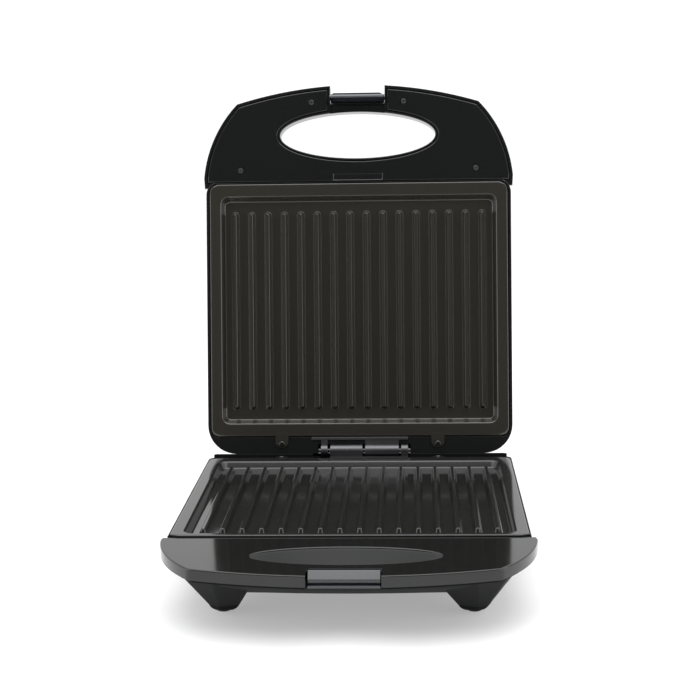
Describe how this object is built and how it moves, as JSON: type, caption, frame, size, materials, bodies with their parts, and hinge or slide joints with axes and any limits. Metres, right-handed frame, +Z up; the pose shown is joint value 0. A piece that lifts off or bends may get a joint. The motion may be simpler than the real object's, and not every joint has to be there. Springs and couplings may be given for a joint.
{
  "type": "panini press",
  "caption": "Small open panini press: ribbed contact plates in a hinged lid and base, each with a curved handle, and a latch clip on the lid.",
  "frame": {"origin": "middle of the open press's bounding box in X and Y, at floor level", "axes": "+X to the press's right seen from the front, +Y from the handles to the hinge, +Z up"},
  "size_m": [0.238, 0.35, 0.3252],
  "materials": {
    "black_gloss": "glossy black moulded plastic",
    "black_satin": "satin black moulded plastic",
    "nonstick": "dark semi-gloss non-stick coating on aluminium",
    "blue_gloss": "glossy blue-black moulded plastic",
    "steel": "plain steel",
    "rubber": "matt black rubber",
    "red_lens": "clear red indicator lens",
    "green_lens": "clear green indicator lens",
    "phenolic": "brown heat-resistant moulding"
  },
  "bodies": {
    "base": {"base_housing": "black_satin", "base_handle_cover": "black_gloss", "latch_catch": "blue_gloss", "lower_grill_plate": "nonstick", "lower_heat_shield": "steel", "lower_heating_element": "steel", "thermostat": "phenolic", "terminal_block": "phenolic", "cord_gland": "rubber", "foot_front_left": "black_satin", "foot_front_right": "black_satin", "foot_rear_left": "black_satin", "foot_rear_right": "black_satin", "foot_pad_front_left": "rubber", "foot_pad_front_right": "rubber", "foot_pad_rear_left": "rubber", "foot_pad_rear_right": "rubber", "lower_tab_screw_left": "steel", "lower_tab_screw_right": "steel", "base_hinge_bracket": "steel", "hinge_pin": "steel"},
    "lid": {"lid_housing": "black_gloss", "lid_handle_cover": "black_gloss", "upper_grill_plate": "nonstick", "upper_heat_shield": "steel", "upper_heating_element": "steel", "thermal_fuse": "phenolic", "lid_hinge_bracket": "steel", "cover_screw_inner_left": "steel", "cover_screw_inner_right": "steel", "cover_screw_outer_left": "steel", "cover_screw_outer_right": "steel", "upper_tab_screw_left": "steel", "upper_tab_screw_right": "steel", "red_lens": "red_lens", "green_lens": "green_lens", "latch_pin": "steel"},
    "latch": {"latch_clip": "blue_gloss"}
  },
  "joints": [
    {"name": "lid_hinge", "type": "hinge", "parent": "base", "child": "lid", "pos_m": [0, 0.10559, 0.049], "axis": [1, 0, 0], "range_deg": [0, 100.1]},
    {"name": "latch_swing", "type": "hinge", "parent": "lid", "child": "latch", "pos_m": [0, 0.16009, 0.31507], "axis": [-1, 0, 0], "range_deg": [0, 35]}
  ]
}
